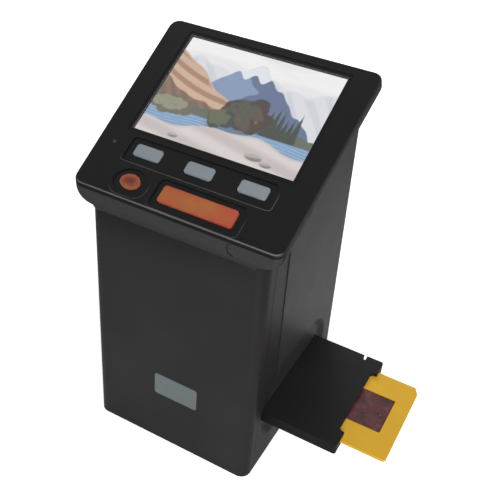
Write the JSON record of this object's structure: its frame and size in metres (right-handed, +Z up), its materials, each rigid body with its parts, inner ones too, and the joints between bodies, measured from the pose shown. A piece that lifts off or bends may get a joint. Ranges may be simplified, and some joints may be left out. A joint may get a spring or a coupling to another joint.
{
  "type": "film scanner",
  "caption": "Desktop film and slide scanner: tapered black tower, sloped head with screen and keys, slide holder through its sides.",
  "frame": {"origin": "middle of the whole outline, tower and slide holder, on the surface that the feet stand on", "axes": "+Z up, the keys and the badge face -Y, the slide holder leaves along +X"},
  "size_m": [0.1506, 0.097, 0.18],
  "materials": {
    "housing": "fine moulded texture, satin black",
    "bezel": "satin black",
    "rubber": "matte",
    "steel": "plated",
    "badge": "satin grey, bare",
    "screen_cover": "gloss",
    "screen": "lit picture",
    "flex": "polyimide",
    "flex_white": "matte",
    "indicator": "clear",
    "circuit_board": "solder mask",
    "white_board": "white solder mask",
    "switch_black": "matte",
    "white_plastic": "matte white",
    "led": "phosphor",
    "diffuser": "frosted",
    "inner_black": "matte",
    "lens_black": "anodised black",
    "lens_glass": "coated",
    "sensor": "cover glass over silicon",
    "rear_button": "satin",
    "key": "satin blue-grey",
    "home_key": "translucent orange",
    "capture_key": "translucent orange",
    "tray": "satin black",
    "mount": "moulded, yellow",
    "film": "film base"
  },
  "bodies": {
    "tower": {"front_housing": "housing", "rear_housing": "housing", "base_cover": "housing", "rubber_feet": "rubber", "base_screws": "steel", "front_badge": "badge", "top_bezel": "bezel", "display_window": "screen_cover", "display_panel": "screen", "display_frame": "steel", "display_screws": "steel", "display_ribbon": "flex", "indicator_lens": "indicator", "key_board": "circuit_board", "key_switches": "switch_black", "key_board_screws": "steel", "light_box": "white_plastic", "led_board": "white_board", "leds": "led", "diffuser": "diffuser", "light_cable": "flex_white", "film_gate": "inner_black", "gate_cover": "inner_black", "detent_spring": "steel", "optics_bracket": "inner_black", "lens_barrel": "lens_black", "lens_elements": "lens_glass", "sensor_board": "circuit_board", "image_sensor": "sensor", "sensor_screws": "steel", "sensor_ribbon": "flex", "main_board": "circuit_board", "board_screws": "steel", "usb_socket": "steel", "hdmi_socket": "steel", "card_socket": "steel", "power_switch": "switch_black"},
    "tray": {"tray_base": "tray", "tray_cover": "tray", "tray_screws": "steel"},
    "slide": {"slide_mount": "mount", "slide_film": "film"},
    "key_left": {"key_left": "key"},
    "key_centre": {"key_centre": "key"},
    "key_right": {"key_right": "key"},
    "home": {"home_button": "home_key"},
    "capture": {"capture_button": "capture_key"},
    "power": {"power_button": "rear_button"}
  },
  "joints": [
    {"name": "tray_slide", "type": "slide", "parent": "tower", "child": "tray", "axis": [1, 0, 0], "range_m": [-0.038, 0.07], "deforming": ["detent_spring"]},
    {"name": "slide_feed", "type": "slide", "parent": "tray", "child": "slide", "axis": [-1, 0, 0], "range_m": [-0.02, 0.1095]},
    {"name": "key_left_press", "type": "slide", "parent": "tower", "child": "key_left", "axis": [0, 0.4924, -0.8704], "range_m": [0, 0.0006], "stiffness_N_per_m": 400},
    {"name": "key_centre_press", "type": "slide", "parent": "tower", "child": "key_centre", "axis": [0, 0.4924, -0.8704], "range_m": [0, 0.0006], "stiffness_N_per_m": 400},
    {"name": "key_right_press", "type": "slide", "parent": "tower", "child": "key_right", "axis": [0, 0.4924, -0.8704], "range_m": [0, 0.0006], "stiffness_N_per_m": 400},
    {"name": "home_press", "type": "slide", "parent": "tower", "child": "home", "axis": [0, 0.4924, -0.8704], "range_m": [0, 0.0006], "stiffness_N_per_m": 400},
    {"name": "capture_press", "type": "slide", "parent": "tower", "child": "capture", "axis": [0, 0.4924, -0.8704], "range_m": [0, 0.0006], "stiffness_N_per_m": 400},
    {"name": "power_press", "type": "slide", "parent": "tower", "child": "power", "axis": [0, -1, 0], "range_m": [0, 0.0006], "stiffness_N_per_m": 400}
  ]
}
